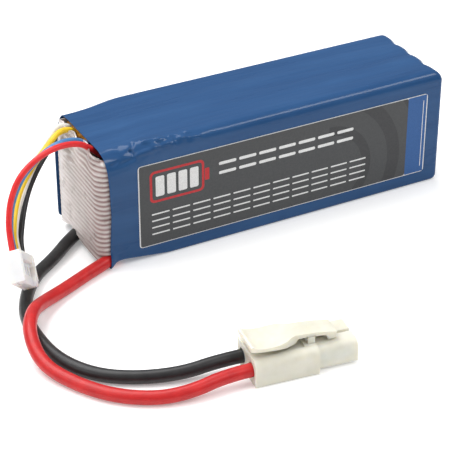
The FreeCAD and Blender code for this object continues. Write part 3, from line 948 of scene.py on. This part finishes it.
def make_polyimide():
    """Amber film over the board, turned back under the top lip, where the wires come out."""
    film = start_block("polyimide_film", (-50.1, -50.0), (-5.5, 11.4), (6.0, 30.2))
    open_mesh(film)
    pick_faces(lambda c, n: n.z > 0.9)
    for dx, dz in ((-0.5, 1.0), (0.1, 0.9), (1.0, 0.9), (1.6, 0.45)):
        bpy.ops.mesh.extrude_region_move(
            TRANSFORM_OT_translate={"value": (dx * MM, 0, dz * MM)}
        )
    slice_across(1, span(-4.8, 10.8, 0.7))
    slice_across(2, span(8, 33, 1.1))
    close_mesh()
    swell(film, "X", 0.55, lambda x, y, z: ramp(29, 31, z)
          * (0.5 + 0.5 * math.sin(1.7 * y + 0.6 * z)))
    swell(film, "Z", -0.7, lambda x, y, z: ramp(30.5, 33, z) * ramp(8, 12, y))
    reshape(film, corner_pull(0.6))
    smooth(film, 60)
    dress(film, polyimide)
    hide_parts("polyimide_tape")
    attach(film, "pack")


# ---------------------------------------------------------------- power connector

PLUG_PLACE = Matrix.Translation(Vector((-40.98, -72.75, 0)) * MM) @ Matrix.Rotation(
    math.radians(-7.5), 4, "Z"
)
CORE_Z = 3.5
CORE_V = 3.1
SOCKET_V = 2.85
HINGE_U, HINGE_W = 15.6, 8.4


def put(piece, place):
    piece.matrix_world = place
    return settle(piece)


def make_power_housing():
    body = start_block("connector_moulding", (0, 16.5), (-6.3, 6.3), (0, 7.2))
    weigh_edges(body, 2.2, lambda c, way: 1 if abs(way.x) > 0.9 and c.z > 7 and c.y < 0
                else (0.25 if abs(way.x) > 0.9 else 0), 6)
    nose = start_block("nose", (16.0, 27.0), (-5.2, 5.2), (0.7, 6.7))
    weigh_edges(nose, 2.2, lambda c, way: 1 if abs(way.x) > 0.9 and c.z > 6 and c.y < 0
                else (0.25 if abs(way.x) > 0.9 else 0), 6)
    ears = [
        start_block("ear", (HINGE_U - 0.9, HINGE_U + 0.9), v, (6.5, 9.0))
        for v in ((-2.9, -2.0), (2.0, 2.9))
    ]
    pin = start_rod("pin", 0.5, (HINGE_U, -2.5, HINGE_W), (HINGE_U, 2.5, HINGE_W), 24)
    carve(body, nose, *ears, operation="UNION")
    cuts = [
        start_block("groove", (16.5, 28), (-0.5, 0.5), (5.3, 8)),
        start_block("groove", (16.5, 28), (-0.5, 0.5), (-1, 2.1)),
        start_block("recess", (5.2, 13.6), (-3.6, 3.6), (6.75, 8)),
    ]
    for side in (-1, 1):
        cuts.append(start_rod(
            "entry", 1.95, (-1, side * CORE_V, CORE_Z), (14, side * CORE_V, CORE_Z), 40
        ))
        cuts.append(start_rod(
            "bore", 1.8, (13, side * SOCKET_V, CORE_Z), (28, side * SOCKET_V, CORE_Z), 40
        ))
    carve(body, *cuts)
    soften(body, 0.28, 3, 40)
    carve(body, pin, operation="UNION")
    smooth(body, 38)
    put(body, PLUG_PLACE)
    dress(body, ivory_nylon)
    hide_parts("power_connector_housing")
    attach(body, "pack")
    return body


LATCH_STATIONS = [  # u, foot, top, half of the width
    (-0.5, 9.5, 10.75, 4.4), (-0.05, 9.35, 10.8, 4.5), (0.45, 9.2, 10.45, 4.5),
    (1.2, 9.05, 10.15, 4.5), (2.6, 8.9, 9.85, 4.5), (4.2, 8.75, 9.7, 4.5),
    (5.8, 8.6, 9.75, 4.5), (7.4, 8.5, 9.95, 4.4), (8.8, 8.3, 10.2, 4.0),
    (9.9, 8.1, 10.4, 3.4), (11.0, 8.0, 10.45, 2.9), (11.6, 8.1, 10.4, 2.7),
    (12.2, 9.1, 10.35, 2.7), (14.2, 9.1, 10.2, 2.7), (16.4, 8.95, 10.0, 2.7),
    (18.6, 8.7, 9.7, 2.7), (19.6, 8.4, 9.55, 2.7), (20.1, 7.2, 9.45, 2.7),
    (21.6, 7.2, 9.2, 2.7), (22.3, 7.6, 9.0, 2.7),
]


def make_latch():
    u, foot, top, half = LATCH_STATIONS[0]
    latch = start_block("connector_latch", (u - 0.1, u), (-half, half), (foot, top))
    open_mesh(latch)
    pick_faces(lambda c, n: n.x > 0.9)
    for (u0, f0, t0, h0), (u1, f1, t1, h1) in zip(LATCH_STATIONS, LATCH_STATIONS[1:]):
        middle = Vector((u1, 0, (f1 + t1) / 2)) * MM
        bpy.ops.mesh.extrude_region_move(TRANSFORM_OT_translate={
            "value": ((u1 - u0) * MM, 0, (f1 + t1 - f0 - t0) / 2 * MM)
        })
        bpy.ops.transform.resize(
            value=(1, h1 / h0, (t1 - f1) / (t0 - f0)), center_override=middle
        )
    close_mesh()
    boss = start_block(
        "boss", (HINGE_U - 1.1, HINGE_U + 1.1), (-1.9, 1.9), (HINGE_W - 0.95, 9.4)
    )
    side_cuts = [
        start_block("clearance", (14.4, 16.8), v, (7.0, 9.15))
        for v in ((-3.2, -1.9), (1.9, 3.2))
    ]
    carve(latch, boss, operation="UNION")
    carve(latch, *side_cuts)
    soften(latch, 0.3, 3, 40)
    way = start_rod("way", 0.55, (HINGE_U, -3, HINGE_W), (HINGE_U, 3, HINGE_W), 24)
    carve(latch, way)
    smooth(latch, 38)
    put(latch, PLUG_PLACE)
    dress(latch, ivory_nylon)
    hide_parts("power_connector_latch")
    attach(latch, "latch")
    return latch


# ---------------------------------------------------------------- balance plug

def plug_place():
    row = Vector((0.53, 0.55, -0.65)).normalized()
    up = Vector((0.12, 0.70, 0.70))
    up = (up - row * up.dot(row)).normalized()
    across = up.cross(row)
    turn = Matrix((row, across, up)).transposed().to_4x4()
    return Matrix.Translation(Vector((-77.2, -20.0, 10.9)) * MM) @ turn


def make_balance_plug():
    half_row, half_thick, half_tall = 5.6, 2.2, 4.1
    plug = start_block(
        "balance_plug_moulding", (-half_row, half_row), (-half_thick, half_thick),
        (-half_tall, half_tall),
    )
    ribs = [
        start_block("rib", a, (-half_thick - 0.28, -half_thick + 0.3), (-2.9, half_tall - 0.5))
        for a in ((-5.2, -4.3), (4.3, 5.2))
    ]
    carve(plug, *ribs, operation="UNION")
    ways = [(i - 2) * 2.0 for i in range(5)]
    cuts = [start_block("recess", (-4.0, 4.0), (-3, -half_thick + 0.95), (-5, 1.9))]
    for a in ways:
        cuts.append(start_block("window", (a - 0.55, a + 0.55), (-3, -0.55), (-1.6, 0.9)))
        cuts.append(start_block("mouth", (a - 0.68, a + 0.68), (-0.68, 0.68), (-5, 0.65)))
        cuts.append(start_rod("way", 0.92, (a, 0, 0.5), (a, 0, 5), 28))
        cuts.append(start_block("throat", (a - 0.62, a + 0.62), (0.4, 1.35), (1.9, 5)))
    cuts.append(start_block("step", (-6, 6), (half_thick - 0.35, 3), (-5, -2.6)))
    carve(plug, *cuts)
    soften(plug, 0.2, 2, 40)
    smooth(plug, 38)
    put(plug, plug_place())
    dress(plug, white_nylon)
    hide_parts("balance_plug_housing")
    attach(plug, "pack")
    return plug


make_film()
make_label()
make_end_wrap()
make_polyimide()
housing = make_power_housing()
latch = make_latch()
balance_plug = make_balance_plug()

# ---------------------------------------------------------------- carried-over pieces

for number in range(1, 5):
    node_finish(f"cell_{number}", pouch_foil)
    node_finish(f"cell_{number}_positive_tab", aluminium_strip)
    node_finish(f"cell_{number}_negative_tab", nickel_strip)
for number in range(1, 4):
    node_finish(f"cell_spacer_pad_{number}", foam)
for name in ("tab_solder_joints", "balance_wire_solder_joints", "main_lead_solder_joints"):
    node_finish(name, solder)
node_finish("tab_insulation_card", fish_paper)
node_finish("balance_board", solder_mask)
node_finish("positive_lead_strands", copper_strand)
node_finish("negative_lead_strands", copper_strand)
node_finish("positive_socket_contact", gold_plate)
node_finish("negative_socket_contact", gold_plate)
node_finish("balance_plug_contacts", tin_plate)

# ---------------------------------------------------------------- what the cords are

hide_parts("positive_lead")
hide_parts("negative_lead")
for name, wire in wires.items():
    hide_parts("balance_wire_" + name)

# ---------------------------------------------------------------- floor and light

nothing_selected()
bpy.ops.mesh.primitive_plane_add(size=6, location=(0, 0, 0))
floor = bpy.context.object
floor.name = "floor"
floor_finish = Finish(
    "floor", 0.9, Specular_IOR_Level=0.1, Emission_Color=(1, 1, 1, 1), Emission_Strength=0.22
)
floor_finish.colour((0.86, 0.86, 0.86))
dress(floor, floor_finish.material)


def soft_light(name, place, aim, size, power):
    lamp = bpy.data.lights.new(name, "AREA")
    lamp.shape = "RECTANGLE"
    lamp.size, lamp.size_y = size
    lamp.energy = power
    light = bpy.data.objects.new(name, lamp)
    light.location = place
    light.rotation_euler = (Vector(aim) - Vector(place)).to_track_quat("-Z", "Y").to_euler()
    bpy.context.collection.objects.link(light)


soft_light("overhead", (-0.2, 0.3, 0.8), (0, 0, 0), (0.9, 0.6), 8.6)
soft_light("left", (-0.8, -0.1, 0.5), (-0.05, -0.02, 0), (0.5, 0.5), 1.4)
soft_light("strip", (0.5, -0.5, 0.9), (0, 0, 0.03), (0.7, 0.2), 4.2)

world = bpy.data.worlds.new("studio")
bpy.context.scene.world = world
world.use_nodes = True
sky = world.node_tree
direction = sky.nodes.new("ShaderNodeTexCoord")
parts = sky.nodes.new("ShaderNodeSeparateXYZ")
fade = sky.nodes.new("ShaderNodeValToRGB")
sky.links.new(direction.outputs["Generated"], parts.inputs["Vector"])
sky.links.new(parts.outputs["Z"], fade.inputs["Fac"])
fade.color_ramp.elements[0].position = 0.0
fade.color_ramp.elements[0].color = (0.22, 0.22, 0.22, 1)
fade.color_ramp.elements[1].position = 0.7
fade.color_ramp.elements[1].color = (1, 1, 1, 1)
sky.links.new(fade.outputs["Color"], sky.nodes["Background"].inputs["Color"])
sky.nodes["Background"].inputs["Strength"].default_value = 0.62
bpy.context.scene.view_settings.view_transform = "Standard"
